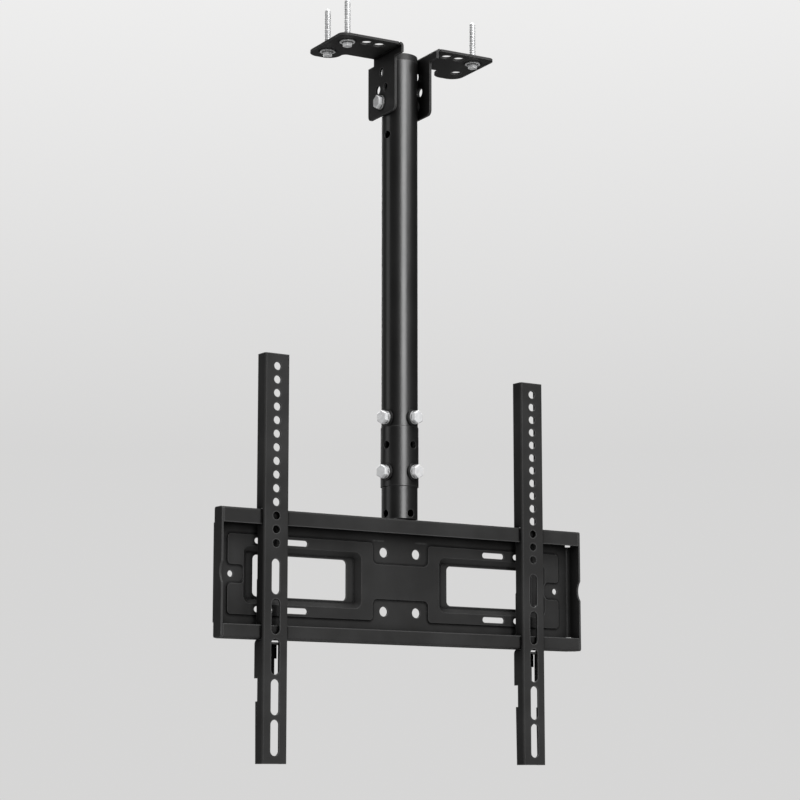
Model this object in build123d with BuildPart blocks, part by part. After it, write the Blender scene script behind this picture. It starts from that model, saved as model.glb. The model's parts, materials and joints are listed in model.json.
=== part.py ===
"""Ceiling mount for a flat television.

The origin is on the ceiling plane, on the axis of the pole. Z is up, X runs
along the plate and the screen faces -Y. All lengths are in millimetres.
"""
import os
from math import cos, radians, sin, tan

from build123d import *

os.makedirs("parts", exist_ok=True)

# Fits and general stock
running_gap = 0.1
slide_gap = 0.3
thin_sheet = 2.0
thick_sheet = 3.0
washer_thickness = 1.6
washer_8_outer = 16.0
washer_10_outer = 20.0
thread_stand = 3.0
hex_edge = 0.7
screw_point = 0.6

# Ceiling brackets, turned on the pole as the swivel lets them be
ceiling_turn = -4.0
tab_gap = 1.0
tab_front = 30.5
tab_rear = 29.5
tab_drop = 72.0
bracket_sheet = 2.5
tab_shoulder_drop = 11.0
tab_corner = 6.0
foot_reach = 98.0
foot_front = 46.0
neck_rear = 17.0
lobe_rear = 39.0
lobe_width = 36.0
foot_corner = 9.0
lobe_corner = 14.0
neck_fillet = 6.0
bend_radius = 4.0
lag_reach = 80.2
lag_front = 25.4
lag_rear_reach = 83.0
lag_rear = 15.3
lag_hole = 12.0
foot_hole = 12.5
foot_hole_reach = 51.0
foot_hole_pitch = 15.7
foot_hole_front = 30.0
swing_hole = 10.0
swing_holes = ((-1.0, -22.0), (-9.0, -41.4), (7.5, -40.8))

# Pivot of the pole
pivot_drop = 57.0
pivot_bolt_diameter = 8.0
bush_wall = 2.0

# Hexagon heads, by thread diameter
hex_8_flats = 13.0
hex_8_height = 5.3
nut_8_height = 8.0
hex_10_flats = 16.0
hex_10_height = 6.4
nut_10_height = 8.4
hex_6_flats = 10.0
hex_6_height = 4.5
lag_diameter = 6.0
lag_length = 50.0
lag_point = 2.5
lag_washer_outer = 17.0

# Pole and telescopic tube
pole_diameter = 40.0
pole_wall = 1.8
pole_top = -9.5
cap_height = 7.5
cap_edge = 1.0
cap_plug_length = 12.0
cap_plug_wall = 2.5
sleeve_top = -421.2
sleeve_length = 65.0
sleeve_diameter = 41.4
inner_wall = 2.0
inner_overlap = 190.0
inner_tail = 14.0
drill_diameter = 8.5
drill_pitch = 30.0
drill_count = 5
drill_turn = 12.5
head_drill_turn = 5.0
spare_hole_drop = 94.4
clamp_above_sleeve = 9.5
clamp_pitch = 59.3
clamp_diameter = 8.0
clamp_washer_outer = 18.5
spring_washer_outer = 14.8
spring_washer_thickness = 2.1
spring_washer_slit = 1.5
clamp_tip_gap = 0.3
clamp_grip = 7.0

# Swivel head
head_diameter = 39.2
head_length = 35.0
head_hole_rise = 5.6
swivel_bolt_diameter = 10.0
swivel_disc = 4.0
swivel_pad = 2.0
yoke_width = 32.0
yoke_front = 3.0
yoke_rear = 23.0
yoke_bend = 2.0
tilt_drop = 14.8
tilt_setback = 13.0
tilt_eye = 10.0
tilt_bolt_diameter = 8.0
tilt_spacer = 1.0
ear_sheet = 2.5
ear_bend = 2.0
ear_corner = 3.0
ear_foot = 20.0
ear_foot_height = 19.0

# Television plate
plate_length = 463.0
plate_height = 134.0
plate_depth = 21.6
plate_front = -20.5
plate_head_gap = 1.3
upper_lip_height = 16.0
lower_lip_height = 14.2
plate_corner = 2.5
end_bend = 6.0
end_slit = 0.5
end_notch_height = 22.0
end_notch_depth = 4.0
emboss_length = 430.0
emboss_height = 84.8
emboss_rise = 1.5
emboss_corner = 5.0
emboss_taper = 35.0
end_bay_depth = 20.0
end_bay_height = 17.8
waist_height = 39.0
waist_length = 70.0
recess_offset = 122.8
recess_length = 145.0
recess_height = 60.0
recess_depth = 7.0
recess_corner = 8.0
recess_taper = 40.0
window_length = 115.6
window_height = 43.4
window_corner = 5.0
centre_hole = 10.5
centre_hole_x = 42.0
centre_hole_z = 63.4
end_hole = 6.5
end_hole_x = 420.0
panel_slot_z = 71.0
panel_slot_width = 6.2
panel_slot_shift = -4.5
inner_slot_start = 113.0
inner_slot_length = 29.7
outer_slot_start = 155.1
outer_slot_length = 22.8

# Television rails
rail_length = 424.0
rail_width = 30.0
rail_rise = 163.5
left_rail_x = -169.3
right_rail_x = 162.3
rail_stand = 4.0
rail_depth = 15.0
rail_corner = 2.5
rail_mid_depth = 12.5
rail_mid_step = 1.0
rail_mid_step_drop = 72.0
finger_height = 5.0
finger_slope = 2.0
finger_root = 6.5
rail_hook_depth = 17.0
rail_hook_length = 39.5
rail_hook_corner = 5.0
rail_waist_depth = 10.5
rail_waist_length = 23.6
rail_tail_depth = 14.3
rail_foot_depth = 13.2
hole_first = 13.2
hole_pitch = 100.0 / 7.0
hole_count = 14
rail_hole = 8.5
slot_first = 215.0
slot_pitch = 41.1
slot_length = 36.5
slot_width = 10.0
slot_count = 5

# Rail locks
lock_shelf_drop = 3.0
lock_back_width = 23.5
lock_back_height = 16.0
lock_tail_height = 33.0
lock_tail_width = 20.8
lock_screw_diameter = 6.0
lock_screw_head = 10.0
lock_screw_head_height = 5.0
lock_screw_edge = 1.2
lock_screw_length = 13.0
lock_screw_setback = 7.6
lock_screw_shift = -6.0
lock_shelf_setback = 0.6

# Places worked out from the sizes above
pole_radius = pole_diameter / 2
pole_bore = pole_radius - pole_wall
tab_inner = pole_radius + tab_gap
tab_outer = tab_inner + bracket_sheet
inner_radius = pole_bore - running_gap
inner_bore = inner_radius - inner_wall
sleeve_radius = sleeve_diameter / 2
sleeve_bottom = sleeve_top - sleeve_length
inner_top = sleeve_top + inner_overlap
inner_bottom = sleeve_bottom - inner_tail
clamp_z = sleeve_top + clamp_above_sleeve
drill_angles = (180 + drill_turn, 270 + drill_turn)
head_radius = head_diameter / 2
head_bore = inner_radius + running_gap
head_top = sleeve_bottom - slide_gap
head_bottom = head_top - head_length
disc_top = inner_bottom - swivel_pad
disc_bottom = disc_top - swivel_disc
tilt_z = head_bottom - tilt_drop
plate_top = head_bottom - plate_head_gap
plate_centre = plate_top - plate_height / 2
plate_bottom = plate_top - plate_height
plate_back = plate_front + plate_depth
panel_front = plate_back - thin_sheet
emboss_front = panel_front - emboss_rise
rail_front = plate_front - rail_stand
rail_top = plate_top + rail_rise
rail_bottom = rail_top - rail_length
hook_bottom = plate_bottom - slide_gap - rail_hook_length
waist_bottom = hook_bottom - rail_waist_length
shelf_top = plate_bottom - lock_shelf_drop
ceiling_frame = Rotation(0, 0, ceiling_turn)


def save(part, name):
    """Label a finished piece and write it."""
    part.label = name
    export_step(part, f"parts/{name}.step")


def facing(angle, distance, height):
    """Plane at a distance from the pole's axis that looks outwards."""
    out = (cos(radians(angle)), sin(radians(angle)), 0)
    return Plane(origin=(distance * out[0], distance * out[1], height), x_dir=(0, 0, 1), z_dir=out)


def tube(outer, inner, top, bottom):
    """Round tube on the pole's axis."""
    with BuildPart() as body:
        with BuildSketch(Plane.XY.offset(bottom)):
            Circle(outer)
            Circle(inner, mode=Mode.SUBTRACT)
        extrude(amount=top - bottom)
    return body.part


def hex_screw(flats, head, shank, length, point=screw_point):
    """Hexagon screw whose head stands on the XY plane and whose shank hangs below it."""
    with BuildPart() as screw:
        with BuildSketch(Plane.XY):
            RegularPolygon(flats / 2, 6, major_radius=False)
        extrude(amount=head)
        chamfer(screw.faces().sort_by(Axis.Z)[-1].edges(), hex_edge)
        with BuildSketch(Plane.XY):
            Circle(shank / 2)
        extrude(amount=-length)
        chamfer(screw.faces().sort_by(Axis.Z)[0].edges(), point)
    return screw.part


def ring(outer, inner, thickness):
    """Flat washer that lies on the XY plane."""
    with BuildPart() as washer:
        with BuildSketch(Plane.XY):
            Circle(outer / 2)
            Circle(inner / 2, mode=Mode.SUBTRACT)
        extrude(amount=thickness)
    return washer.part


def nut(flats, bore, height):
    """Hexagon nut that stands on the XY plane."""
    with BuildPart() as body:
        with BuildSketch(Plane.XY):
            RegularPolygon(flats / 2, 6, major_radius=False)
            Circle(bore / 2, mode=Mode.SUBTRACT)
        extrude(amount=height)
        chamfer(body.faces().sort_by(Axis.Z)[-1].outer_wire().edges(), hex_edge)
    return body.part


def placed(part, planes):
    """Copies of one piece, as separate solids, one on each plane."""
    with BuildPart() as copies:
        with Locations(*planes):
            add(part)
    return copies.part


# Ceiling brackets: each is one folded sheet, a foot under the ceiling and a tab beside the pole
with BuildPart() as right_bracket:
    fold_end = tab_inner + bend_radius
    with BuildSketch(Plane.XZ.offset(-neck_rear)) as fold_outline:
        with BuildLine():
            Polyline(
                (tab_inner, 0),
                (fold_end, 0),
                (fold_end, -bracket_sheet),
                (tab_outer, -bracket_sheet),
                (tab_outer, -tab_shoulder_drop),
                (tab_inner, -tab_shoulder_drop),
                close=True,
            )
        make_face()
        outer_corner = fold_outline.vertices().sort_by(Axis.X).group_by(Axis.Y)[-1].sort_by(Axis.X)[0]
        fillet(outer_corner, bend_radius)
    extrude(amount=neck_rear + foot_front)
    with BuildSketch(Plane.XY.offset(-bracket_sheet)) as foot_outline:
        with BuildLine():
            Polyline(
                (fold_end, -foot_front),
                (foot_reach, -foot_front),
                (foot_reach, lobe_rear),
                (foot_reach - lobe_width, lobe_rear),
                (foot_reach - lobe_width, neck_rear),
                (fold_end, neck_rear),
                close=True,
            )
        make_face()
        fillet(foot_outline.vertices().filter_by_position(Axis.Y, lobe_rear - 1, lobe_rear + 1), lobe_corner)
        outer_front = foot_outline.vertices().sort_by(Axis.Y).group_by(Axis.X)[-1].sort_by(Axis.Y)[0]
        fillet(outer_front, foot_corner)
        neck_x = foot_reach - lobe_width
        neck_corner = foot_outline.vertices().filter_by_position(Axis.X, neck_x - 1, neck_x + 1)
        fillet(neck_corner.sort_by(Axis.Y)[0], neck_fillet)
        fillet(foot_outline.vertices().sort_by(Axis.Y).group_by(Axis.X)[0].sort_by(Axis.Y)[0], bend_radius)
    extrude(amount=bracket_sheet)
    with BuildSketch(Plane.YZ.offset(tab_inner)) as tab_outline:
        with BuildLine():
            Polyline(
                (-tab_front, -tab_shoulder_drop),
                (tab_rear, -tab_shoulder_drop),
                (tab_rear, -tab_drop),
                (-tab_front, -tab_drop),
                close=True,
            )
        make_face()
        fillet(tab_outline.vertices().group_by(Axis.Y)[0], tab_corner)
    extrude(amount=bracket_sheet)
    with BuildSketch(Plane.XY):
        with Locations((lag_reach, -lag_front), (lag_rear_reach, lag_rear)):
            Circle(lag_hole / 2)
        with Locations((foot_hole_reach, -foot_hole_front)):
            with GridLocations(foot_hole_pitch, 0, 2, 1):
                Circle(foot_hole / 2)
    extrude(amount=-bracket_sheet, mode=Mode.SUBTRACT)
    with BuildSketch(Plane.YZ.offset(tab_inner)):
        with Locations((0, -pivot_drop)):
            Circle(pivot_bolt_diameter / 2 + running_gap)
        with Locations(*swing_holes):
            Circle(swing_hole / 2)
    extrude(amount=bracket_sheet, mode=Mode.SUBTRACT)
save(ceiling_frame * right_bracket.part, "right_ceiling_bracket")

with BuildPart() as left_bracket:
    mirror(right_bracket.part, about=Plane.YZ)
save(ceiling_frame * left_bracket.part, "left_ceiling_bracket")

# Pivot bolt through both tabs, the pole and the bush inside it
pivot_seat = tab_outer + washer_thickness
pivot_left = facing(180 + ceiling_turn, pivot_seat, -pivot_drop)
pivot_right = facing(ceiling_turn, pivot_seat, -pivot_drop)
pivot_length = 2 * pivot_seat + nut_8_height + thread_stand
save(
    placed(hex_screw(hex_8_flats, hex_8_height, pivot_bolt_diameter, pivot_length), [pivot_left]),
    "pivot_bolt",
)
save(placed(nut(hex_8_flats, pivot_bolt_diameter, nut_8_height), [pivot_right]), "pivot_lock_nut")
pivot_washer = ring(washer_8_outer, pivot_bolt_diameter + 2 * running_gap, washer_thickness)
save(
    placed(pivot_washer, [pivot_left.offset(-washer_thickness), pivot_right.offset(-washer_thickness)]),
    "pivot_washers",
)

# Lag screws that hold the feet: the rear hole on the right is left free
lag_seat = -bracket_sheet - washer_thickness
lag_places = [(-lag_reach, -lag_front), (-lag_rear_reach, lag_rear), (lag_reach, -lag_front)]
lag_planes = [Plane(origin=(x, y, lag_seat), x_dir=(1, 0, 0), z_dir=(0, 0, -1)) for x, y in lag_places]
lag_screw = hex_screw(hex_6_flats, hex_6_height, lag_diameter, lag_length, point=lag_point)
save(ceiling_frame * placed(lag_screw, lag_planes), "lag_screws")
lag_washer = ring(lag_washer_outer, lag_diameter + 2 * running_gap, washer_thickness)
lag_washers = placed(lag_washer, [plane.offset(-washer_thickness) for plane in lag_planes])
save(ceiling_frame * lag_washers, "lag_washers")

# Pole with its cap and the bush that the pivot bolt turns in
bush_radius = pivot_bolt_diameter / 2 + running_gap / 2 + bush_wall
with BuildPart() as upper_tube:
    add(tube(pole_radius, pole_bore, pole_top, sleeve_top + slide_gap))
    with BuildSketch(facing(ceiling_turn, -pole_radius, -pivot_drop)):
        Circle(bush_radius)
    extrude(amount=2 * pole_radius, mode=Mode.SUBTRACT)
    with BuildSketch(facing(180 + drill_turn, -pole_radius, -spare_hole_drop)):
        Circle(drill_diameter / 2)
    extrude(amount=2 * pole_radius, mode=Mode.SUBTRACT)
    for angle in drill_angles:
        with BuildSketch(facing(angle, inner_bore, clamp_z)):
            Circle(clamp_diameter / 2)
        extrude(amount=pole_radius, mode=Mode.SUBTRACT)
save(upper_tube.part, "upper_tube")

with BuildPart() as top_cap:
    with BuildSketch(Plane.XY.offset(pole_top)):
        Circle(pole_radius)
    extrude(amount=cap_height)
    fillet(top_cap.edges().sort_by(Axis.Z)[-1], cap_edge)
    with BuildSketch(Plane.XY.offset(pole_top)):
        Circle(pole_bore)
        Circle(pole_bore - cap_plug_wall, mode=Mode.SUBTRACT)
    extrude(amount=-cap_plug_length)
save(top_cap.part, "top_cap")

with BuildPart() as pivot_bush:
    with BuildSketch(facing(ceiling_turn, -pole_radius, -pivot_drop)):
        Circle(bush_radius)
        Circle(pivot_bolt_diameter / 2 + running_gap / 2, mode=Mode.SUBTRACT)
    extrude(amount=2 * pole_radius)
save(pivot_bush.part, "pivot_bush")

spacer = ring(washer_8_outer, pivot_bolt_diameter + 2 * running_gap, tab_gap - 2 * running_gap)
save(
    placed(
        spacer,
        [
            facing(180 + ceiling_turn, pole_radius + running_gap, -pivot_drop),
            facing(ceiling_turn, pole_radius + running_gap, -pivot_drop),
        ],
    ),
    "pivot_spacers",
)

# Telescopic tube with the coupling sleeve bolted to it
with BuildPart() as inner_tube:
    add(tube(inner_radius, inner_bore, inner_top, inner_bottom))
    drilled = [clamp_z + drill_pitch * (row + 0.5) for row in range(drill_count)]
    drilled += [clamp_z - clamp_pitch / 2]
    for angle in drill_angles:
        for height in drilled:
            with BuildSketch(facing(angle, 0, height)):
                Circle(drill_diameter / 2)
            extrude(amount=pole_radius, mode=Mode.SUBTRACT)
        with BuildSketch(facing(angle, 0, clamp_z - clamp_pitch)):
            Circle(clamp_diameter / 2)
        extrude(amount=pole_radius, mode=Mode.SUBTRACT)
save(inner_tube.part, "inner_tube")

with BuildPart() as coupling_sleeve:
    add(tube(sleeve_radius, inner_radius, sleeve_top, sleeve_bottom))
    for angle in drill_angles:
        with BuildSketch(facing(angle, 0, clamp_z - clamp_pitch / 2)):
            Circle(drill_diameter / 2)
        extrude(amount=sleeve_diameter, mode=Mode.SUBTRACT)
        with BuildSketch(facing(angle, 0, clamp_z - clamp_pitch)):
            Circle(clamp_diameter / 2)
        extrude(amount=sleeve_diameter, mode=Mode.SUBTRACT)
save(coupling_sleeve.part, "coupling_sleeve")


def clamp_screws(seat, tip, height, label):
    """Two hexagon screws, a quarter turn apart, with flat and spring washers, from the seat to the tip."""
    seats = [facing(angle, seat, height) for angle in drill_angles]
    washer_bore = clamp_diameter + 2 * running_gap
    stack = washer_thickness + spring_washer_thickness
    with BuildPart() as spring_washer:
        add(ring(spring_washer_outer, washer_bore, spring_washer_thickness))
        with Locations((spring_washer_outer / 2, 0, 0)):
            Box(spring_washer_outer / 2, spring_washer_slit, 2 * stack, mode=Mode.SUBTRACT)
    spring_seats = [plane.offset(washer_thickness) for plane in seats]
    save(placed(ring(clamp_washer_outer, washer_bore, washer_thickness), seats), f"{label}_washers")
    save(placed(spring_washer.part, spring_seats), f"{label}_spring_washers")
    screw = hex_screw(hex_8_flats, hex_8_height, clamp_diameter, seat + stack - tip)
    save(placed(screw, [plane.offset(stack) for plane in seats]), f"{label}_screws")


clamp_screws(pole_radius, inner_radius + clamp_tip_gap, clamp_z, "upper_clamp")
clamp_screws(sleeve_radius, inner_radius - clamp_grip, clamp_z - clamp_pitch, "lower_clamp")

# Swivel: a plug in the telescopic tube, a disc in the head tube and one bolt through both
plug_hole = swivel_bolt_diameter + 2 * running_gap
save(placed(ring(2 * inner_bore, plug_hole, swivel_disc), [Plane.XY.offset(inner_bottom)]), "swivel_plug")
save(placed(ring(2 * inner_bore, plug_hole, swivel_pad), [Plane.XY.offset(disc_top)]), "swivel_pad")
swivel_down = Plane(origin=(0, 0, disc_bottom - washer_thickness), x_dir=(1, 0, 0), z_dir=(0, 0, -1))
swivel_washer = ring(washer_10_outer, plug_hole, washer_thickness)
plug_top = inner_bottom + swivel_disc
save(placed(swivel_washer, [swivel_down.offset(-washer_thickness)]), "swivel_washer")
swivel_grip = plug_top - disc_bottom + washer_thickness + nut_10_height + thread_stand
save(
    placed(hex_screw(hex_10_flats, hex_10_height, swivel_bolt_diameter, swivel_grip), [swivel_down]),
    "swivel_bolt",
)
save(placed(nut(hex_10_flats, swivel_bolt_diameter, nut_10_height), [Plane.XY.offset(plug_top)]), "swivel_nut")

with BuildPart() as lower_tube:
    add(tube(head_radius, head_bore, head_top, head_bottom))
    for angle in (180 + head_drill_turn, 270 + head_drill_turn):
        with BuildSketch(facing(angle, 0, head_bottom + head_hole_rise)):
            Circle(drill_diameter / 2)
        extrude(amount=pole_radius, mode=Mode.SUBTRACT)
save(lower_tube.part, "lower_tube")
swivel_seat = ring(2 * head_bore, swivel_bolt_diameter + running_gap, swivel_disc)
save(placed(swivel_seat, [Plane.XY.offset(disc_bottom)]), "swivel_disc")

# Yoke: a folded channel under the head tube, with an eye on each cheek
yoke_centre = (yoke_front + yoke_rear) / 2
with BuildPart() as yoke:
    with BuildSketch(Plane.YZ.offset(-yoke_width / 2)) as cheek_outline:
        with Locations((yoke_centre, (head_bottom + tilt_z) / 2)):
            Rectangle(yoke_rear - yoke_front, head_bottom - tilt_z)
        with Locations((tilt_setback, tilt_z)):
            Circle(tilt_eye)
    extrude(amount=yoke_width)
    fillet(yoke.edges().filter_by(Axis.Y).sort_by(Axis.Z)[-2:], yoke_bend)
    with BuildSketch(Plane.XZ.offset(-yoke_rear)):
        with Locations((0, head_bottom - thick_sheet - tilt_drop)):
            Rectangle(yoke_width - 2 * thick_sheet, 2 * tilt_drop)
    extrude(amount=2 * yoke_rear, mode=Mode.SUBTRACT)
    with BuildSketch(Plane.YZ.offset(-yoke_width / 2)):
        with Locations((tilt_setback, tilt_z)):
            Circle(tilt_bolt_diameter / 2 + running_gap / 2)
    extrude(amount=yoke_width, mode=Mode.SUBTRACT)
save(yoke.part, "yoke")

# Television plate: one folded tray with lips at its top and bottom, open to the front
end_face = plate_length / 2
tray_half = end_face - thin_sheet - end_slit
bend_x = end_face - end_bend
bend_y = plate_back - end_bend
strip_height = plate_height - 2 * upper_lip_height
opening_height = plate_height - upper_lip_height - lower_lip_height
opening_centre = plate_centre + (lower_lip_height - upper_lip_height) / 2
with BuildPart() as tv_plate:
    with BuildSketch(Plane.YZ.offset(-tray_half)) as tray_section:
        with Locations((plate_front + plate_depth / 2, plate_centre)):
            Rectangle(plate_depth, plate_height)
            fillet(tray_section.vertices(), plate_corner)
            Rectangle(plate_depth - 2 * thin_sheet, plate_height - 2 * thin_sheet, mode=Mode.SUBTRACT)
        with Locations((plate_front, opening_centre)):
            Rectangle(3 * thin_sheet, opening_height, mode=Mode.SUBTRACT)
    extrude(amount=2 * tray_half)
    for side in (-1, 1):
        with BuildSketch(Plane.XY.offset(plate_bottom)):
            with Locations((side * (bend_x + end_bend / 2), plate_back - end_bend / 2)):
                Rectangle(end_bend, end_bend)
        extrude(amount=plate_height, mode=Mode.SUBTRACT)
        with BuildSketch(Plane.XY.offset(plate_centre - strip_height / 2)):
            with Locations((side * bend_x, bend_y)):
                Circle(end_bend)
                Circle(end_bend - thin_sheet, mode=Mode.SUBTRACT)
            with Locations((side * (bend_x + end_bend / 2), plate_back - end_bend / 2)):
                Rectangle(end_bend, end_bend, mode=Mode.INTERSECT)
        extrude(amount=strip_height)
        with BuildSketch(Plane.YZ.offset(side * (end_face - thin_sheet / 2))) as end_outline:
            with Locations(((plate_front + bend_y) / 2, plate_centre)):
                Rectangle(bend_y - plate_front, plate_height)
                fillet(end_outline.vertices(), plate_corner)
            notch_radius = (end_notch_height**2 / 4 + end_notch_depth**2) / (2 * end_notch_depth)
            with Locations((plate_front + end_notch_depth - notch_radius, plate_centre)):
                Circle(notch_radius, mode=Mode.SUBTRACT)
        extrude(amount=thin_sheet / 2, both=True)

    # Bone-shaped emboss that stiffens the panel and leaves the bolt holes on flat ground
    with BuildSketch(Plane.XZ.offset(-panel_front)) as bone:
        with Locations((0, plate_centre)):
            Rectangle(emboss_length, emboss_height)
        with Locations(*((side * emboss_length / 2, plate_centre) for side in (-1, 1))):
            Rectangle(2 * end_bay_depth, end_bay_height, mode=Mode.SUBTRACT)
        notch = (emboss_height - waist_height) / 2
        with Locations(*((0, plate_centre + side * (waist_height + notch) / 2) for side in (-1, 1))):
            Rectangle(waist_length, notch, mode=Mode.SUBTRACT)
        fillet(bone.vertices(), emboss_corner)
    extrude(amount=emboss_rise, taper=emboss_taper)
    with BuildSketch(Plane.XZ.offset(-plate_back)) as bone_back:
        add(bone.faces())
        offset(amount=-thin_sheet)
    extrude(amount=emboss_rise, taper=emboss_taper, mode=Mode.SUBTRACT)

    # Sunk frame round each window, pressed towards the back
    emboss_back = emboss_front + thin_sheet
    slanted_skin = thin_sheet / cos(radians(recess_taper))
    back_grow = 2 * (slanted_skin - thin_sheet * tan(radians(recess_taper)))
    with BuildSketch(Plane(origin=(0, emboss_back, plate_centre), x_dir=(1, 0, 0), z_dir=(0, 1, 0))):
        with GridLocations(2 * recess_offset, 0, 2, 1):
            RectangleRounded(recess_length + back_grow, recess_height + back_grow, recess_corner)
    extrude(amount=recess_depth, taper=recess_taper)
    with BuildSketch(Plane(origin=(0, emboss_front, plate_centre), x_dir=(1, 0, 0), z_dir=(0, 1, 0))):
        with GridLocations(2 * recess_offset, 0, 2, 1):
            RectangleRounded(recess_length, recess_height, recess_corner)
    extrude(amount=recess_depth, taper=recess_taper, mode=Mode.SUBTRACT)

    # Windows, bolt holes and slots
    with BuildSketch(Plane.XZ.offset(-emboss_front)):
        with Locations((0, plate_centre)):
            with GridLocations(2 * recess_offset, 0, 2, 1):
                RectangleRounded(window_length, window_height, window_corner)
            with GridLocations(centre_hole_x, centre_hole_z, 2, 2):
                Circle(centre_hole / 2)
            with GridLocations(end_hole_x, 0, 2, 1):
                Circle(end_hole / 2)
        with Locations((panel_slot_shift, plate_centre)):
            for start, length in ((inner_slot_start, inner_slot_length), (outer_slot_start, outer_slot_length)):
                with GridLocations(2 * start + length, panel_slot_z, 2, 2):
                    SlotOverall(length, panel_slot_width)
    extrude(amount=-plate_depth, mode=Mode.SUBTRACT)
save(tv_plate.part, "tv_plate")

# Tilt ears: folded brackets welded to the back of the panel, outside the yoke's cheeks
ear_inner = yoke_width / 2 + tilt_spacer
ear_outer = ear_inner + ear_sheet
with BuildPart() as right_tilt_ear:
    with BuildSketch(Plane.YZ.offset(ear_inner)):
        with Locations(((plate_back + tilt_setback) / 2, tilt_z)):
            Rectangle(tilt_setback - plate_back, ear_foot_height)
        with Locations((tilt_setback, tilt_z)):
            Circle(ear_foot_height / 2)
    extrude(amount=ear_sheet)
    with BuildSketch(Plane.XZ.offset(-plate_back)) as ear_base:
        with Locations((ear_inner + ear_foot / 2, tilt_z)):
            Rectangle(ear_foot, ear_foot_height)
            fillet(ear_base.vertices().group_by(Axis.X)[-1], ear_corner)
    extrude(amount=-ear_sheet)
    fillet(right_tilt_ear.edges().filter_by(Axis.Z).group_by(Axis.X)[0].sort_by(Axis.Y)[0], ear_bend)
    with BuildSketch(Plane.YZ.offset(ear_inner)):
        with Locations((tilt_setback, tilt_z)):
            Circle(tilt_bolt_diameter / 2 + running_gap)
    extrude(amount=ear_sheet, mode=Mode.SUBTRACT)
save(right_tilt_ear.part, "right_tilt_ear")

with BuildPart() as left_tilt_ear:
    mirror(right_tilt_ear.part, about=Plane.YZ)
save(left_tilt_ear.part, "left_tilt_ear")

# Tilt bolt with its washers, spacers and lock nut
tilt_seat = ear_outer + washer_thickness
tilt_left = Plane(origin=(-tilt_seat, tilt_setback, tilt_z), x_dir=(0, 0, 1), z_dir=(-1, 0, 0))
tilt_right = Plane(origin=(tilt_seat, tilt_setback, tilt_z), x_dir=(0, 0, 1), z_dir=(1, 0, 0))
tilt_length = 2 * tilt_seat + nut_8_height + thread_stand
tilt_washer = ring(washer_8_outer, tilt_bolt_diameter + 2 * running_gap, washer_thickness)
tilt_ring = ring(washer_8_outer, tilt_bolt_diameter + 2 * running_gap, tilt_spacer - running_gap)
save(
    placed(hex_screw(hex_8_flats, hex_8_height, tilt_bolt_diameter, tilt_length), [tilt_left]),
    "tilt_bolt",
)
save(placed(nut(hex_8_flats, tilt_bolt_diameter, nut_8_height), [tilt_right]), "tilt_lock_nut")
save(
    placed(tilt_washer, [tilt_left.offset(-washer_thickness), tilt_right.offset(-washer_thickness)]),
    "tilt_washers",
)
ring_seat = washer_thickness + ear_sheet + tilt_spacer - running_gap
save(placed(tilt_ring, [tilt_left.offset(-ring_seat), tilt_right.offset(-ring_seat)]), "tilt_spacers")


def rail(middle):
    """One upright rail: a channel whose flanges are notched to hook over the plate's lips."""
    face_back = rail_front + thin_sheet
    flange = rail_front + rail_depth
    hook = rail_front + rail_hook_depth
    lip_front = plate_front - slide_gap
    lip_back = rail_front + finger_root
    middle_back = rail_front + rail_mid_depth
    step_back = middle_back + rail_mid_step
    step_z = plate_top - rail_mid_step_drop
    shoulder = plate_top + slide_gap
    upper_lip = plate_top - upper_lip_height - slide_gap
    lower_lip = plate_bottom + lower_lip_height + slide_gap
    hook_top = plate_bottom - slide_gap
    with BuildPart() as body:
        with BuildSketch(Plane.YZ.offset(middle - rail_width / 2)) as side:
            with BuildLine():
                Polyline(
                    (rail_front, rail_top),
                    (flange, rail_top),
                    (flange, shoulder),
                    (lip_front, shoulder),
                    (lip_front, upper_lip),
                    (lip_back, upper_lip),
                    (lip_back, upper_lip + finger_height),
                    (middle_back, upper_lip + finger_height - finger_slope),
                    (middle_back, step_z),
                    (step_back, step_z - rail_mid_step),
                    (step_back, lower_lip),
                    (lip_front, lower_lip),
                    (lip_front, hook_top),
                    (hook, hook_top),
                    (hook, hook_bottom),
                    (rail_front + rail_waist_depth, hook_bottom),
                    (rail_front + rail_waist_depth, waist_bottom),
                    (rail_front + rail_tail_depth, waist_bottom),
                    (rail_front + rail_foot_depth, rail_bottom),
                    (rail_front, rail_bottom),
                    close=True,
                )
            make_face()
            hook_corner = side.vertices().group_by(Axis.X)[-1].sort_by(Axis.Y)[1]
            fillet(hook_corner, rail_hook_corner)
        extrude(amount=rail_width)
        fillet(body.edges().filter_by(Axis.Z).group_by(Axis.Y)[0], rail_corner)
        with BuildSketch(Plane.XY.offset(rail_bottom)) as channel:
            with Locations((middle, face_back + rail_depth)):
                Rectangle(rail_width - 2 * thin_sheet, 2 * rail_depth)
                fillet(channel.vertices().group_by(Axis.Y)[0], rail_corner - thin_sheet)
        extrude(amount=rail_length, mode=Mode.SUBTRACT)
        with BuildSketch(Plane.XZ.offset(-rail_front)):
            for row in range(hole_count):
                with Locations((middle, rail_top - hole_first - row * hole_pitch)):
                    Circle(rail_hole / 2)
            for row in range(slot_count):
                with Locations((middle, rail_top - slot_first - slot_length / 2 - row * slot_pitch)):
                    SlotOverall(slot_length, slot_width, rotation=90)
        extrude(amount=-2 * thin_sheet, mode=Mode.SUBTRACT)
    return body.part


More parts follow.
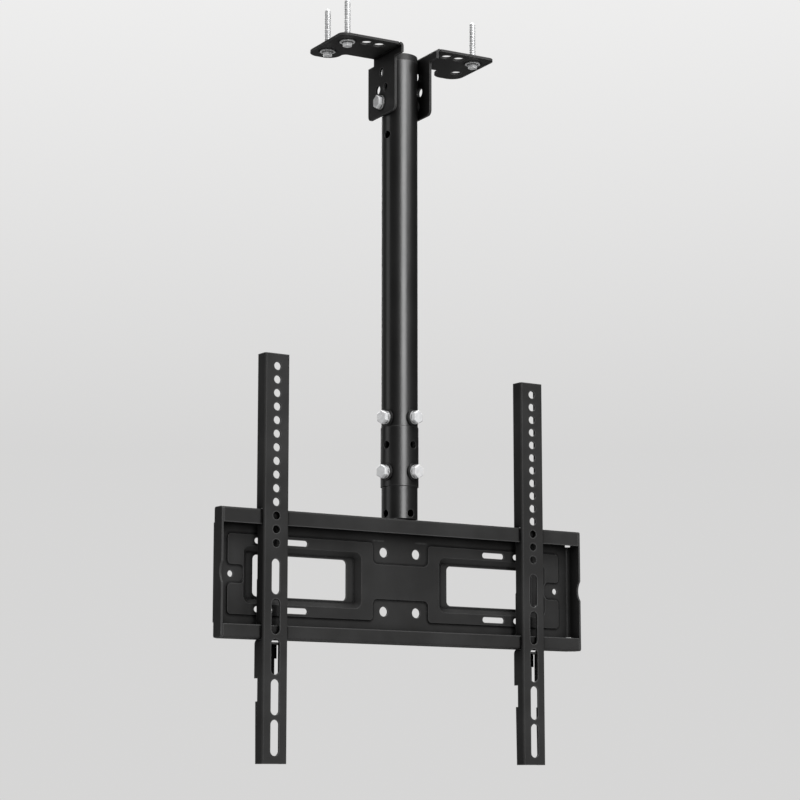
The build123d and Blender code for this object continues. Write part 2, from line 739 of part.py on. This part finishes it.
def rail_lock(middle):
    """Folded bracket welded inside the rail below the plate: a shelf, a back and a narrower tail."""
    inside = rail_width / 2 - thin_sheet
    back = rail_front + rail_hook_depth
    shelf_front = rail_front + thin_sheet + lock_shelf_setback
    with BuildPart() as body:
        with BuildSketch(Plane.XZ.offset(-back)):
            with Locations((middle - inside + lock_back_width / 2, shelf_top - lock_back_height / 2)):
                Rectangle(lock_back_width, lock_back_height)
            with Locations((middle - inside + lock_tail_width / 2, shelf_top - lock_tail_height / 2)):
                Rectangle(lock_tail_width, lock_tail_height)
        extrude(amount=thin_sheet)
        with BuildSketch(Plane.XY.offset(shelf_top)):
            with Locations((middle, (shelf_front + back) / 2)):
                Rectangle(2 * inside, back - shelf_front)
            with Locations((middle + lock_screw_shift, rail_front + lock_screw_setback)):
                Circle(lock_screw_diameter / 2, mode=Mode.SUBTRACT)
        extrude(amount=-thin_sheet)
    return body.part


def lock_screw(middle):
    """Screw that is tightened up against the underside of the plate."""
    tip = plate_bottom - slide_gap
    with BuildPart() as body:
        with BuildSketch(Plane.XY.offset(tip)):
            with Locations((middle + lock_screw_shift, rail_front + lock_screw_setback)):
                Circle(lock_screw_diameter / 2)
        extrude(amount=-lock_screw_length)
        with BuildSketch(Plane.XY.offset(tip - lock_screw_length)):
            with Locations((middle + lock_screw_shift, rail_front + lock_screw_setback)):
                Circle(lock_screw_head / 2)
        extrude(amount=-lock_screw_head_height)
        fillet(body.edges().sort_by(Axis.Z)[0], lock_screw_edge)
    return body.part


for middle, name in ((left_rail_x, "left"), (right_rail_x, "right")):
    save(rail(middle), f"{name}_rail")
    save(rail_lock(middle), f"{name}_lock_bracket")
    save(lock_screw(middle), f"{name}_lock_screw")
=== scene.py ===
import json
import math
import bpy
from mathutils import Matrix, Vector


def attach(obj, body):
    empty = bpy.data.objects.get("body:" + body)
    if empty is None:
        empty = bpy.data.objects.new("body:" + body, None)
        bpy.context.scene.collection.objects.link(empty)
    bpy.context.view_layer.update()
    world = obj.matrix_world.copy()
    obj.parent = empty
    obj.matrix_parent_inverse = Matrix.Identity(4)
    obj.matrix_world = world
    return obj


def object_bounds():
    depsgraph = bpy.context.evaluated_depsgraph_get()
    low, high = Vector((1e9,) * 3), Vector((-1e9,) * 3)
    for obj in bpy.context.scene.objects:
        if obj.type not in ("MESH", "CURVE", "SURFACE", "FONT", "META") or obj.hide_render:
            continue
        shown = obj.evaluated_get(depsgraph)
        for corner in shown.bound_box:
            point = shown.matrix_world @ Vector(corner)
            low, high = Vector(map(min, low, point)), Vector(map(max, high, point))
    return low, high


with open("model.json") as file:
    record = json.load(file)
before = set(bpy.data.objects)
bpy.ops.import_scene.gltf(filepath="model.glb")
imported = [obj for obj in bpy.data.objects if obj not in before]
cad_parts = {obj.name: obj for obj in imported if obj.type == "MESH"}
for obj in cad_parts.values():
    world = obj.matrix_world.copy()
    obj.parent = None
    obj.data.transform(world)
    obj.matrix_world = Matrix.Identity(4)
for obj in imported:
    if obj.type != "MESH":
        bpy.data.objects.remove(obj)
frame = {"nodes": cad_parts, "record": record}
cadLow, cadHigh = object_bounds()
nodes = frame["nodes"]
print("frame loaded:", len(nodes), "nodes")

# Camera, from the photo's own perspective: metres, degrees, and millimetres for lens and sensor
cameraSetup = {
    "place": (-1.381, -2.0615, -0.7975),
    "yaw": 33.83,
    "pitch": 9.33,
    "lens": 103.6,
    "sensor": 36.0,
    "clip": (0.05, 50),
}


def makeCamera(s):
    data = bpy.data.cameras.new("camera")
    data.lens = s["lens"]
    data.sensor_width = s["sensor"]
    data.clip_start, data.clip_end = s["clip"]
    camera = bpy.data.objects.new("camera", data)
    camera.location = s["place"]
    camera.rotation_euler = (math.radians(90 + s["pitch"]), 0, math.radians(-s["yaw"]))
    bpy.context.scene.collection.objects.link(camera)
    bpy.context.scene.camera = camera


makeCamera(cameraSetup)
print("camera placed")


# Shader maths as plain expressions: every operator adds a Math node
class Signal:
    def __init__(self, graph, socket):
        self.graph = graph
        self.socket = socket

    def maths(self, operation, *others, clamp=False):
        settings = {"operation": operation, "use_clamp": clamp}
        return self.graph.node("ShaderNodeMath", settings, dict(enumerate((self, *others))))[0]

    def __add__(self, other): return self.maths("ADD", other)
    def __radd__(self, other): return self.maths("ADD", other)
    def __sub__(self, other): return self.maths("SUBTRACT", other)
    def __rsub__(self, other): return self.maths("MULTIPLY", -1.0).maths("ADD", other)
    def __mul__(self, other): return self.maths("MULTIPLY", other)
    def __rmul__(self, other): return self.maths("MULTIPLY", other)

    def held(self):
        return self.maths("ADD", 0.0, clamp=True)  # kept between 0 and 1


# Builds the nodes of a material, of the world or of a Geometry Nodes tree
class Graph:
    def __init__(self, owner):
        if isinstance(owner, bpy.types.NodeTree):
            self.tree = owner
        else:
            owner.use_nodes = True
            self.tree = owner.node_tree
            self.tree.nodes.clear()

    def node(self, kind, settings=None, values=None):
        made = self.tree.nodes.new(kind)
        for name, value in (settings or {}).items():
            setattr(made, name, value)
        for name, value in (values or {}).items():
            if isinstance(value, Signal):
                self.tree.links.new(value.socket, made.inputs[name])
            else:
                made.inputs[name].default_value = value
        return [Signal(self, s) for s in made.outputs]

    def place(self, scale=(1, 1, 1)):
        here = self.node("ShaderNodeTexCoord")[3]
        return self.node("ShaderNodeMapping", {}, {"Vector": here, "Scale": scale})[0]

    def noise(self, scale, detail=2.0, roughness=0.5, where=None):
        where = where or self.place()
        return self.node("ShaderNodeTexNoise", {}, {
            "Vector": where, "Scale": scale, "Detail": detail, "Roughness": roughness,
        })[0]

    def between(self, mask, first, second):
        return self.node("ShaderNodeMix", {"data_type": "RGBA"}, {0: mask, 6: first, 7: second})[2]

    def span(self, value, low, high, toLow=0.0, toHigh=1.0):
        return self.node("ShaderNodeMapRange", {}, {
            "Value": value, "From Min": low, "From Max": high, "To Min": toLow, "To Max": toHigh,
        })[0]

    def edges(self, radius):
        # rounded normal, and a mask that is 1 on sharp corners
        soft = self.node("ShaderNodeBevel", {"samples": 6}, {"Radius": radius})[0]
        flat = self.node("ShaderNodeNewGeometry")[1]
        match = self.node("ShaderNodeVectorMath", {"operation": "DOT_PRODUCT"}, {0: soft, 1: flat})[1]
        return soft, self.span(match, 0.995, 0.90)

    def openness(self, reach, inside=False):
        # 1 on open ground and lower in creases, or on outer bends with inside
        settings = {"samples": 8, "inside": inside}
        return self.node("ShaderNodeAmbientOcclusion", settings, {"Distance": reach})[1]

    def finish(self, colour, roughness, metallic, height, depth, soft, gloss=0.5):
        bump = {"Height": height, "Distance": depth, "Strength": 1.0, "Normal": soft}
        surface = self.node("ShaderNodeBsdfPrincipled", {}, {
            "Base Color": colour, "Roughness": roughness, "Metallic": metallic,
            "Normal": self.node("ShaderNodeBump", {}, bump)[0], "Specular IOR Level": gloss,
        })[0]
        self.node("ShaderNodeOutputMaterial", {}, {"Surface": surface})


def shade(level, warmth=0.0):
    # grey as it reads on screen, as a linear colour
    grey = ((level / 255 + 0.055) / 1.055) ** 2.4
    return (grey * (1 + warmth), grey, grey * (1 - warmth), 1)


# Powder coat on every folded sheet and on the tubes, levels from 0 to 255 and reaches in metres
coatSetup = {
    "sheet": {
        "dark": 48, "light": 57, "rough": 0.38, "gloss": 0.1,
        "edge": 0.0006, "grain": 1500.0, "depth": 0.00002,
    },
    "tube": {
        "dark": 16, "light": 20, "rough": 0.34, "gloss": 1.0,
        "edge": 0.0004, "grain": 1300.0, "depth": 0.00001,
    },
    "shared": {
        "cloud": 18.0, "cloudSpan": (0.35, 0.68), "peelSize": 4.5, "peelHeight": 1.5,
        # painted shade: the coat is darkened where the near and wide reaches find creases, recesses and
        # walls close by
        "nearReach": 0.003, "nearSpan": (0.99, 0.76), "wideReach": 0.022, "wideSpan": (0.95, 0.35),
        "creaseShadeShare": 0.9, "creaseShadeLevel": 4,
        # painted highlight: outer bends and sharp corners are lightened to stand in for light caught on the
        # edges
        "bendReach": 0.0014, "bendSpan": (0.93, 0.6), "bendHighlightShare": 0.36, "cornerShare": 0.3, "bendHighlightLift": 50,
        "swing": 0.10, "cornerPolish": 0.08,
    },
}


def powderCoat(name, s, t):
    material = bpy.data.materials.new(name)
    g = Graph(material)
    soft, corner = g.edges(s["edge"])
    cloud = g.noise(t["cloud"], 3.0)
    grain = g.noise(s["grain"], 2.0, 0.6)
    orangePeel = g.noise(s["grain"] / t["peelSize"], 1.0)
    colour = g.between(g.span(cloud, *t["cloudSpan"]), shade(s["dark"], 0.01), shade(s["light"], 0.005))
    # painted shade: creases, recesses and spots near walls are darkened nearly to black, standing in for
    # the shade that falls there
    near = g.span(g.openness(t["nearReach"]), *t["nearSpan"])
    wide = g.span(g.openness(t["wideReach"]), *t["wideSpan"])
    creaseShade = (near * t["creaseShadeShare"] + wide * t["creaseShadeShare"]).held()
    colour = g.between(creaseShade, colour, shade(t["creaseShadeLevel"]))
    # painted highlight: outer bends and sharp corners are lightened, standing in for light caught on the
    # edges
    bend = g.span(g.openness(t["bendReach"], inside=True), *t["bendSpan"])
    ridge = (bend * t["bendHighlightShare"] + corner * t["cornerShare"]).held()
    colour = g.between(ridge, colour, shade(s["light"] + t["bendHighlightLift"]))
    uneven = t["swing"] * (cloud - 0.5) + t["swing"] * (grain - 0.5)
    roughness = (s["rough"] + uneven - t["cornerPolish"] * corner).held()
    g.finish(colour, roughness, 0.0, grain + t["peelHeight"] * orangePeel, s["depth"], soft, s["gloss"])
    return material


# Bright zinc on the screws, nuts and washers, and bare steel
metalSetup = {
    # each metal's last value is the level of the painted shade in its creases
    "zinc": {"dark": 226, "light": 250, "rough": 0.24, "metal": 0.25, "reach": 0.0025, "creaseShade": 80},
    "bareSteel": {"dark": 110, "light": 150, "rough": 0.42, "metal": 1.0, "reach": 0.002, "creaseShade": 60},
    "shared": {
        "edge": 0.0004, "patch": 260.0, "patchSpan": (0.3, 0.7), "lines": 90.0, "stretch": (1, 1, 14),
        # painted highlight: the corner keys push sharp corners toward white, standing in for glints
        "creaseShadeSpan": (0.97, 0.62), "cornerShare": 0.7, "cornerHighlightLevel": 255,
        "patchSwing": 0.16, "lineSwing": 0.12, "cornerPolish": 0.1, "depth": 0.00001,
    },
}


def platedMetal(name, s, t):
    material = bpy.data.materials.new(name)
    g = Graph(material)
    soft, corner = g.edges(t["edge"])
    patch = g.noise(t["patch"], 3.0, 0.6)
    lines = g.noise(t["lines"], 4.0, 0.7, g.place(t["stretch"]))
    colour = g.between(g.span(patch, *t["patchSpan"]), shade(s["dark"], -0.01), shade(s["light"], -0.005))
    # painted shade: creases, such as where a head meets its washer, are darkened
    creaseShade = g.span(g.openness(s["reach"]), *t["creaseShadeSpan"])
    colour = g.between(creaseShade, colour, shade(s["creaseShade"]))
    # painted highlight: sharp corners are pushed toward white, standing in for glints
    colour = g.between(corner * t["cornerShare"], colour, shade(t["cornerHighlightLevel"]))
    uneven = t["patchSwing"] * (patch - 0.5) + t["lineSwing"] * (lines - 0.5)
    roughness = (s["rough"] + uneven - t["cornerPolish"] * corner).held()
    g.finish(colour, roughness, s["metal"], patch + lines, t["depth"], soft)
    return material


# Black zinc on the washers, black plastic on the cap and nylon in the lock nuts
plainSetup = {
    "blackZinc": {"level": 30, "rough": 0.38, "grain": 900.0, "depth": 0.00001},
    "blackPlastic": {"level": 26, "rough": 0.5, "grain": 1400.0, "depth": 0.000015},
    "nylon": {"level": 205, "rough": 0.45, "grain": 1400.0, "depth": 0.00001},
    "shared": {
        "edge": 0.0003, "wear": 60.0, "wearSpan": (0.3, 0.7), "mottle": 4,
        # the corner keys lighten the sharp corners: partly edge wear, partly painted highlight
        "cornerShare": 0.4, "cornerWearAndSheenLift": 26, "wearSwing": 0.12, "grainSwing": 0.08,
    },
}


def plainFinish(name, s, t):
    material = bpy.data.materials.new(name)
    g = Graph(material)
    soft, corner = g.edges(t["edge"])
    grain = g.noise(s["grain"], 2.0, 0.6)
    wear = g.noise(t["wear"], 3.0)
    worn = g.span(wear, *t["wearSpan"])
    colour = g.between(worn, shade(s["level"] - t["mottle"]), shade(s["level"] + t["mottle"]))
    # lighter sharp corners: partly edge wear, partly a painted highlight standing in for light caught on
    # the edges
    colour = g.between(corner * t["cornerShare"], colour, shade(s["level"] + t["cornerWearAndSheenLift"]))
    roughness = (s["rough"] + t["wearSwing"] * (wear - 0.5) + t["grainSwing"] * (grain - 0.5)).held()
    g.finish(colour, roughness, 0.0, grain, s["depth"], soft)
    return material


sheetCoat = powderCoat("sheetCoat", coatSetup["sheet"], coatSetup["shared"])
tubeCoat = powderCoat("tubeCoat", coatSetup["tube"], coatSetup["shared"])
zinc = platedMetal("zinc", metalSetup["zinc"], metalSetup["shared"])
blackZinc = plainFinish("blackZinc", plainSetup["blackZinc"], plainSetup["shared"])
blackPlastic = plainFinish("blackPlastic", plainSetup["blackPlastic"], plainSetup["shared"])
nylon = plainFinish("nylon", plainSetup["nylon"], plainSetup["shared"])
bareSteel = platedMetal("bareSteel", metalSetup["bareSteel"], metalSetup["shared"])

finishBySlot = {
    "black_coat": sheetCoat,
    "bright_zinc": zinc,
    "black_washer": blackZinc,
    "bare_steel": bareSteel,
    "black_plastic": blackPlastic,
}
tubeNodes = ("upper_tube", "inner_tube", "coupling_sleeve", "lower_tube")
slotOf = {entry["node"]: entry["material_slot"] for entry in frame["record"]["subparts"]}
bodies = frame["record"]["behaviour"]["bodies"]
bodyOf = {name: body for body, members in bodies.items() for name in members}


def paintFrame():
    for name, piece in nodes.items():
        material = tubeCoat if name in tubeNodes else finishBySlot[slotOf[name]]
        piece.data.materials.clear()
        piece.data.materials.append(material)


paintFrame()
print("finishes on the frame")


# Added pieces: a Geometry Nodes tree turns a few points or a short path into the finished shape
def shapeTree(name, inputs):
    tree = bpy.data.node_groups.new(name, "GeometryNodeTree")
    tree.interface.new_socket(name="Path", in_out="INPUT", socket_type="NodeSocketGeometry")
    for label, kind in inputs.items():
        tree.interface.new_socket(name=label, in_out="INPUT", socket_type="NodeSocket" + kind)
    tree.interface.new_socket(name="Shape", in_out="OUTPUT", socket_type="NodeSocketGeometry")
    g = Graph(tree)
    given = g.node("NodeGroupInput")
    return g, dict(zip(["Path", *inputs], given))


def closeTree(g, instances, material):
    solid = g.node("GeometryNodeRealizeInstances", {}, {"Geometry": instances})[0]
    painted = g.node("GeometryNodeSetMaterial", {}, {"Geometry": solid, "Material": material})[0]
    g.node("NodeGroupOutput", {}, {"Shape": painted})
    return g.tree


def grow(name, node, tree, points, values, edges=(), smooth=True):
    # the piece rides on the body of a CAD node and is one plain mesh in the shared frame
    start = bpy.data.meshes.new(name + "Path")
    start.from_pydata(points, list(edges), [])
    piece = bpy.data.objects.new(name, start)
    bpy.context.scene.collection.objects.link(piece)
    modifier = piece.modifiers.new("shape", "NODES")
    modifier.node_group = tree
    for item in tree.interface.items_tree:
        if item.in_out == "INPUT" and item.name in values:
            modifier[item.identifier] = values[item.name]
    graph = bpy.context.evaluated_depsgraph_get()
    solid = bpy.data.meshes.new_from_object(piece.evaluated_get(graph), depsgraph=graph)
    solid.name = name
    for polygon in solid.polygons:
        polygon.use_smooth = smooth
    piece.modifiers.clear()
    piece.data = solid
    bpy.data.meshes.remove(start)
    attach(piece, bodyOf[node])
    print(name, len(solid.polygons), "faces")


# Turns and places that the screws, nuts and rings share
ceilingTurn = math.radians(-4)  # the feet and their bolt stand turned to the plate
pivotHeight = -0.057
alongX = (0.0, math.radians(90), 0.0)
alongPivot = (0.0, math.radians(90), ceilingTurn)
upright = (0.0, 0.0, 0.0)


def onPivot(reach):
    return (reach * math.cos(ceilingTurn), reach * math.sin(ceilingTurn), pivotHeight)


def onTilt(reach):
    return (reach, 0.013, -0.5363)


# Screw threads, a ridge that winds along each shank
threadSetup = {
    "lagThreads": {
        "node": "lag_screws",
        "points": [(-0.0818, -0.0197, 0.003), (-0.0817, 0.0211, 0.003), (0.0782, -0.0309, 0.003)],
        "radius": 0.00295, "length": 0.040, "pitch": 0.0021, "ridge": 0.00052,
        "way": upright, "finish": zinc,
    },
    "pivotThread": {
        "node": "pivot_bolt", "points": [onPivot(0.0333)],
        "radius": 0.0040, "length": 0.0020, "pitch": 0.00125, "ridge": 0.00028,
        "way": alongPivot, "finish": zinc,
    },
    "tiltThread": {
        "node": "tilt_bolt", "points": [onTilt(0.0293)],
        "radius": 0.0040, "length": 0.0020, "pitch": 0.00125, "ridge": 0.00028,
        "way": alongX, "finish": zinc,
    },
    "leftLockThread": {
        "node": "left_lock_screw", "points": [(-0.1753, -0.0169, -0.6697)],
        "radius": 0.0030, "length": 0.0118, "pitch": 0.0010, "ridge": 0.00024,
        "way": upright, "finish": blackZinc,
    },
    "rightLockThread": {
        "node": "right_lock_screw", "points": [(0.1563, -0.0169, -0.6697)],
        "radius": 0.0030, "length": 0.0118, "pitch": 0.0010, "ridge": 0.00024,
        "way": upright, "finish": blackZinc,
    },
}


def threadTree(stepsPerTurn=28, ridgeSides=4):
    g, given = shapeTree("thread", {
        "Turns": "Float", "Radius": "Float", "Length": "Float", "Ridge": "Float", "Way": "Vector",
        "Finish": "Material",
    })
    line = g.node("GeometryNodeCurveSpiral", {}, {
        "Resolution": stepsPerTurn, "Rotations": given["Turns"], "Height": given["Length"],
        "Start Radius": given["Radius"], "End Radius": given["Radius"],
    })[0]
    profile = g.node("GeometryNodeCurvePrimitiveCircle", {}, {
        "Resolution": ridgeSides, "Radius": given["Ridge"],
    })[0]
    ridge = g.node("GeometryNodeCurveToMesh", {}, {
        "Curve": line, "Profile Curve": profile, "Fill Caps": True,
    })[0]
    rows = g.node("GeometryNodeInstanceOnPoints", {}, {
        "Points": given["Path"], "Instance": ridge, "Rotation": given["Way"],
    })[0]
    return closeTree(g, rows, given["Finish"])


def cutThreads(setup):
    tree = threadTree()
    for name, s in setup.items():
        grow(name, s["node"], tree, s["points"], {
            "Turns": s["length"] / s["pitch"], "Radius": s["radius"], "Length": s["length"],
            "Ridge": s["ridge"], "Way": s["way"], "Finish": s["finish"],
        }, smooth=False)


# Weld beads under the coat, where the head tube meets the yoke and the ears meet the plate
weldSetup = {
    "yokeWeld": {
        "node": "yoke",
        "arc": {"centre": (0.0, 0.0, -0.5215), "radius": 0.0200, "from": 37, "to": 143, "steps": 24},
        "pitch": 0.0010, "radius": 0.0012, "sizes": (0.82, 1.12), "seed": 4,
    },
    "earWelds": {
        "node": "tv_plate",
        "lines": [
            ((-0.0205, 0.0011, -0.5268), (-0.0345, 0.0011, -0.5268)),
            ((-0.0205, 0.0011, -0.5458), (-0.0345, 0.0011, -0.5458)),
            ((0.0205, 0.0011, -0.5268), (0.0345, 0.0011, -0.5268)),
            ((0.0205, 0.0011, -0.5458), (0.0345, 0.0011, -0.5458)),
        ],
        "pitch": 0.0010, "radius": 0.0011, "sizes": (0.82, 1.12), "seed": 9,
    },
}


def weldTree():
    g, given = shapeTree("weld", {
        "Pitch": "Float", "Radius": "Float", "Smallest": "Float", "Largest": "Float", "Seed": "Int",
        "Finish": "Material",
    })
    line = g.node("GeometryNodeMeshToCurve", {}, {"Mesh": given["Path"]})[0]
    steps = g.node("GeometryNodeResampleCurve", {"mode": "LENGTH"}, {
        "Curve": line, "Length": given["Pitch"],
    })[0]
    drop = g.node("GeometryNodeMeshIcoSphere", {}, {"Radius": given["Radius"], "Subdivisions": 2})[0]
    sizes = g.node("FunctionNodeRandomValue", {"data_type": "FLOAT"}, {
        2: given["Smallest"], 3: given["Largest"], "Seed": given["Seed"],
    })[1]
    row = g.node("GeometryNodeInstanceOnPoints", {}, {"Points": steps, "Instance": drop, "Scale": sizes})[0]
    return closeTree(g, row, given["Finish"])


def arcPoints(s):
    spots = []
    x, y, z = s["centre"]
    for i in range(s["steps"] + 1):
        around = math.radians(s["from"] + (s["to"] - s["from"]) * i / s["steps"])
        spots.append((x + s["radius"] * math.cos(around), y + s["radius"] * math.sin(around), z))
    return spots, [(i, i + 1) for i in range(s["steps"])]


def layWelds(setup):
    tree = weldTree()
    for name, s in setup.items():
        if "arc" in s:
            points, edges = arcPoints(s["arc"])
        else:
            points = [end for line in s["lines"] for end in line]
            edges = [(2 * i, 2 * i + 1) for i in range(len(s["lines"]))]
        smallest, largest = s["sizes"]
        grow(name, s["node"], tree, points, {
            "Pitch": s["pitch"], "Radius": s["radius"], "Smallest": smallest, "Largest": largest,
            "Seed": s["seed"], "Finish": sheetCoat,
        }, edges)


# Nylon rings in the two lock nuts
ringSetup = {
    "pivotNylon": {
        "node": "pivot_lock_nut", "points": [onPivot(0.0330)], "way": alongPivot,
        "radius": 0.0048, "thick": 0.0006,
    },
    "tiltNylon": {
        "node": "tilt_lock_nut", "points": [onTilt(0.0291)], "way": alongX,
        "radius": 0.0048, "thick": 0.0006,
    },
}


def ringTree(hoopSides=48, profileSides=12):
    g, given = shapeTree("ring", {
        "Radius": "Float", "Thickness": "Float", "Way": "Vector", "Finish": "Material",
    })
    line = g.node("GeometryNodeCurvePrimitiveCircle", {}, {
        "Resolution": hoopSides, "Radius": given["Radius"],
    })[0]
    profile = g.node("GeometryNodeCurvePrimitiveCircle", {}, {
        "Resolution": profileSides, "Radius": given["Thickness"],
    })[0]
    hoop = g.node("GeometryNodeCurveToMesh", {}, {"Curve": line, "Profile Curve": profile})[0]
    rows = g.node("GeometryNodeInstanceOnPoints", {}, {
        "Points": given["Path"], "Instance": hoop, "Rotation": given["Way"],
    })[0]
    return closeTree(g, rows, given["Finish"])


def fitRings(setup):
    tree = ringTree()
    for name, s in setup.items():
        values = {"Radius": s["radius"], "Thickness": s["thick"], "Way": s["way"], "Finish": nylon}
        grow(name, s["node"], tree, s["points"], values)


cutThreads(threadSetup)
layWelds(weldSetup)
fitRings(ringSetup)
print("threads, welds and nylon rings added")

# Pale floor that melts into the plain background
floorSetup = {
    "level": 222, "mottle": 3, "cloud": 3.0, "rough": 0.9, "drop": 1.6, "size": 8.0, "fade": (1.6, 3.6),
}

# World: pale to the camera and behind the object, dim in front where the lamps do the work
worldSetup = {
    "backTop": 238, "backLow": 214, "riseSpan": (0.14, 0.33), "rearSpan": (0.84, 1.25),
    "light": 240, "front": 0.05, "fill": 0.25, "rear": 0.4,
}

# Lamps: degrees from the front and up, metres away and across, watts
lampSetup = {
    "keyStrip": {"azimuth": -7, "elevation": 12, "far": 5.0, "size": (2.4, 3.0), "power": 136},
    "frontPanel": {"azimuth": 20, "elevation": 42, "far": 1.9, "size": (1.2, 0.9), "power": 17},
    "leftPanel": {"azimuth": -112, "elevation": 12, "far": 2.2, "size": (0.9, 2.0), "power": 4.2},
    "topPanel": {"azimuth": 0, "elevation": 88, "far": 4.0, "size": (4.0, 4.0), "power": 150},
    "rearPanel": {"azimuth": 150, "elevation": 25, "far": 4.0, "size": (2.5, 2.5), "power": 60},
}


def paleFloor(s):
    half = s["size"] / 2
    height = cadLow.z - s["drop"]
    mesh = bpy.data.meshes.new("floor")
    corners = [(-half, -half, height), (half, -half, height), (half, half, height), (-half, half, height)]
    mesh.from_pydata(corners, [], [(0, 1, 2, 3)])
    floor = bpy.data.objects.new("floor", mesh)
    bpy.context.scene.collection.objects.link(floor)
    material = bpy.data.materials.new("floorPaint")
    g = Graph(material)
    paper = g.noise(s["cloud"], 2.0)
    colour = g.between(paper, shade(s["level"] - s["mottle"]), shade(s["level"] + s["mottle"]))
    solid = g.node("ShaderNodeBsdfPrincipled", {}, {"Base Color": colour, "Roughness": s["rough"]})[0]
    away = g.node("ShaderNodeVectorMath", {"operation": "LENGTH"}, {0: g.place((1, 1, 0))})[1]
    clear = g.node("ShaderNodeBsdfTransparent")[0]
    surface = g.node("ShaderNodeMixShader", {}, {0: g.span(away, *s["fade"]), 1: solid, 2: clear})[0]
    g.node("ShaderNodeOutputMaterial", {}, {"Surface": surface})
    mesh.materials.append(material)


def softWorld(s):
    world = bpy.data.worlds.new("world")
    bpy.context.scene.world = world
    g = Graph(world)
    path = g.node("ShaderNodeLightPath")
    toCamera, toDiffuse, toGlossy, throughGlass = path[0], path[2], path[3], path[6]
    way = g.node("ShaderNodeSeparateXYZ", {}, {"Vector": g.node("ShaderNodeTexCoord")[0]})
    rear = g.span(way[1], *s["rearSpan"])
    seen = (toCamera + throughGlass + toGlossy * rear).held()
    strength = g.span(rear, 0.0, 1.0, s["front"], s["rear"]).maths("MAXIMUM", toDiffuse * s["fill"])
    lit = g.node("ShaderNodeBackground", {}, {"Color": shade(s["light"]), "Strength": strength})[0]
    tone = g.between(g.span(way[2], *s["riseSpan"]), shade(s["backLow"], 0.004), shade(s["backTop"], 0.003))
    back = g.node("ShaderNodeBackground", {}, {"Color": tone, "Strength": 1.0})[0]
    both = g.node("ShaderNodeMixShader", {}, {0: seen, 1: lit, 2: back})[0]
    g.node("ShaderNodeOutputWorld", {}, {"Surface": both})


def softLamps(setup):
    middle = (cadLow + cadHigh) / 2
    for name, s in setup.items():
        data = bpy.data.lights.new(name, "AREA")
        data.shape = "RECTANGLE"
        data.size, data.size_y = s["size"]
        data.energy = s["power"]
        around, up = math.radians(s["azimuth"]), math.radians(s["elevation"])
        way = Vector((math.sin(around) * math.cos(up), -math.cos(around) * math.cos(up), math.sin(up)))
        lamp = bpy.data.objects.new(name, data)
        lamp.location = middle + way * s["far"]
        lamp.rotation_euler = way.to_track_quat("Z", "Y").to_euler()
        lamp.visible_camera = False
        bpy.context.scene.collection.objects.link(lamp)


paleFloor(floorSetup)
softWorld(worldSetup)
softLamps(lampSetup)
bpy.context.scene.view_settings.view_transform = "Standard"
print("studio set")
